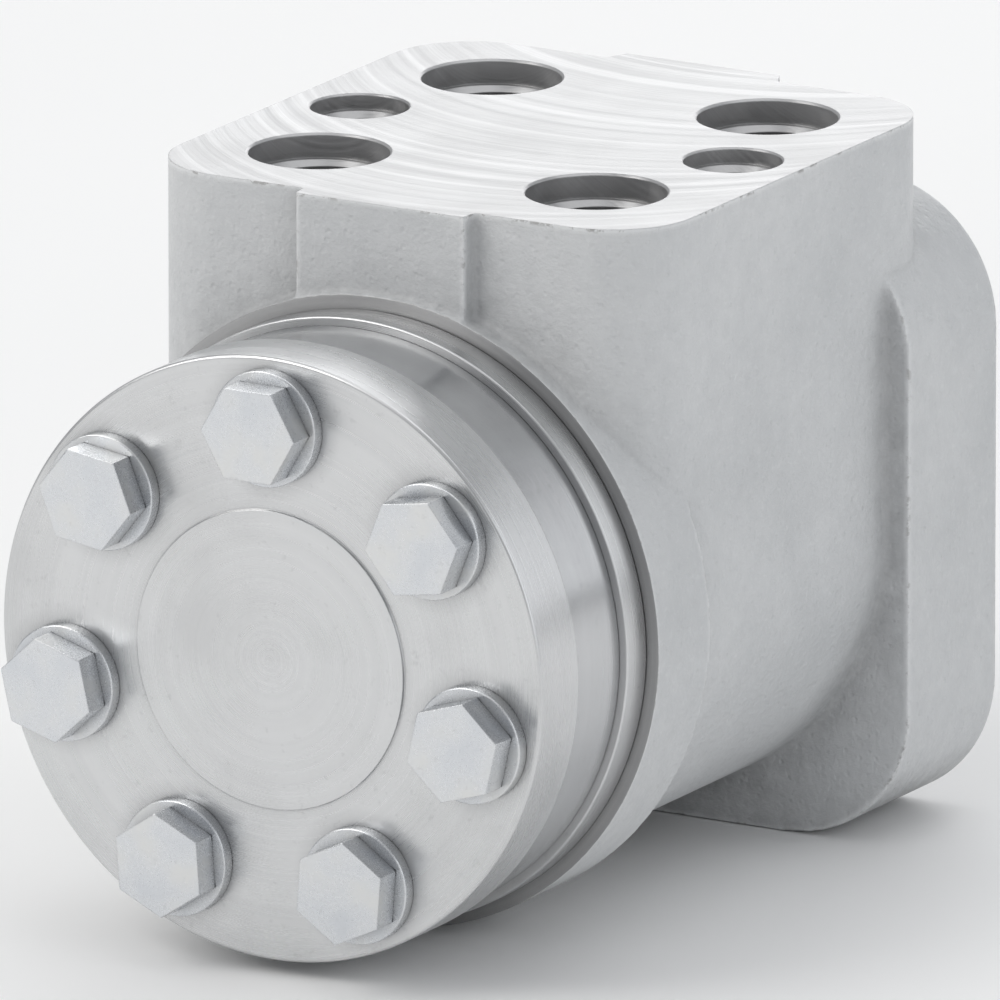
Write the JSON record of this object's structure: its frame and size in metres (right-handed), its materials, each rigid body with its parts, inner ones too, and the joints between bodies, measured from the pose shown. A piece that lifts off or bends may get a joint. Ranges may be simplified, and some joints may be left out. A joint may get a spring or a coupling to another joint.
{
  "type": "orbital hydraulic steering motor",
  "caption": "Gerotor steering motor: round bolted end cover, gear ring and plate, cast housing with a port block on top and a square rear flange with a splined drive socket.",
  "frame": {"origin": "centre of the bounding box in X and Y, at the lowest point in Z, which is the underside of the rear flange", "axes": "+Y runs along the shaft from the bolted end cover to the rear flange, +Z points out of the port face, +X is to the right seen from the end cover"},
  "size_m": [0.091, 0.1318, 0.1042],
  "materials": {
    "cast_iron_body": "pale grey primer paint on cast iron, bare where it is machined",
    "machined_steel": "turned and ground",
    "hardened_steel": "hardened and ground",
    "zinc_plate": "bright zinc plate",
    "spring_steel": "oiled spring steel",
    "seal_rubber": "matt moulded nitrile rubber"
  },
  "bodies": {
    "motor_body": {"housing": "cast_iron_body", "end_cover": "machined_steel", "gear_ring": "machined_steel", "distributor_plate": "machined_steel", "cover_bolt_1": "zinc_plate", "cover_bolt_2": "zinc_plate", "cover_bolt_3": "zinc_plate", "cover_bolt_4": "zinc_plate", "cover_bolt_5": "zinc_plate", "cover_bolt_6": "zinc_plate", "cover_bolt_7": "zinc_plate", "bolt_washer_1": "zinc_plate", "bolt_washer_2": "zinc_plate", "bolt_washer_3": "zinc_plate", "bolt_washer_4": "zinc_plate", "bolt_washer_5": "zinc_plate", "bolt_washer_6": "zinc_plate", "bolt_washer_7": "zinc_plate", "o_ring_cover": "seal_rubber", "o_ring_plate": "seal_rubber", "o_ring_housing": "seal_rubber", "bearing_outer_race": "hardened_steel", "shaft_seal": "seal_rubber", "dust_seal": "seal_rubber", "relief_spring": "spring_steel", "relief_adjuster": "machined_steel", "relief_plug": "zinc_plate", "shock_spring_left": "spring_steel", "shock_spring_right": "spring_steel", "shock_plug_left": "zinc_plate", "shock_plug_right": "zinc_plate", "check_ball_seat": "machined_steel"},
    "sleeve_set": {"valve_sleeve": "hardened_steel", "cross_pin": "hardened_steel", "leaf_spring_left": "spring_steel", "leaf_spring_right": "spring_steel", "spring_ring": "spring_steel", "bearing_inner_race": "hardened_steel"},
    "spool": {"valve_spool": "hardened_steel"},
    "needle_cage": {"bearing_needle_cage": "machined_steel"},
    "rotor_orbit_spacer": {"rotor_spacer": "machined_steel"},
    "rotor_star": {"rotor": "hardened_steel"},
    "cardan": {"cardan_shaft": "hardened_steel"},
    "relief_cone": {"relief_poppet": "hardened_steel"},
    "left_shock_ball": {"shock_ball_left": "hardened_steel"},
    "right_shock_ball": {"shock_ball_right": "hardened_steel"},
    "return_ball": {"check_ball": "hardened_steel"}
  },
  "joints": [
    {"name": "metering_spin", "type": "hinge", "parent": "motor_body", "child": "sleeve_set", "pos_m": [0, 0.0226, 0.0455], "axis": [0, -1, 0], "continuous": true},
    {"name": "spool_turn", "type": "hinge", "parent": "sleeve_set", "child": "spool", "pos_m": [0, 0.0226, 0.0455], "axis": [0, -1, 0], "range_deg": [-8, 8], "stiffness_Nm_per_rad": 3},
    {"name": "needle_cage_spin", "type": "hinge", "parent": "motor_body", "child": "needle_cage", "pos_m": [0, 0.0406, 0.0455], "axis": [0, -1, 0], "continuous": true},
    {"name": "rotor_orbit", "type": "hinge", "parent": "motor_body", "child": "rotor_orbit_spacer", "pos_m": [0, -0.0424, 0.0455], "axis": [0, -1, 0], "continuous": true},
    {"name": "rotor_spin", "type": "hinge", "parent": "rotor_orbit_spacer", "child": "rotor_star", "pos_m": [0, -0.0424, 0.0429], "axis": [0, -1, 0], "continuous": true},
    {"name": "cardan_spin", "type": "hinge", "parent": "rotor_orbit_spacer", "child": "cardan", "pos_m": [0, 0.0226, 0.0455], "axis": [0, -0.9992, -0.04], "continuous": true},
    {"name": "relief_lift", "type": "slide", "parent": "motor_body", "child": "relief_cone", "axis": [0, 1, 0], "range_m": [0, 0.0015], "stiffness_N_per_m": 2000, "springref_m": -0.004, "deforming": ["relief_spring"]},
    {"name": "left_shock_lift", "type": "slide", "parent": "motor_body", "child": "left_shock_ball", "axis": [0, 1, 0], "range_m": [0, 0.0015], "stiffness_N_per_m": 1500, "springref_m": -0.004, "deforming": ["shock_spring_left"]},
    {"name": "right_shock_lift", "type": "slide", "parent": "motor_body", "child": "right_shock_ball", "axis": [0, 1, 0], "range_m": [0, 0.0015], "stiffness_N_per_m": 1500, "springref_m": -0.004, "deforming": ["shock_spring_right"]},
    {"name": "return_ball_lift", "type": "slide", "parent": "motor_body", "child": "return_ball", "axis": [0, -1, 0], "range_m": [0, 0.002]}
  ],
  "couplings": [
    {"joint": "needle_cage_spin", "follows": "metering_spin", "ratio": 0.5},
    {"joint": "rotor_orbit", "follows": "metering_spin", "ratio": -6},
    {"joint": "rotor_spin", "follows": "metering_spin", "ratio": 7},
    {"joint": "cardan_spin", "follows": "metering_spin", "ratio": 7}
  ]
}
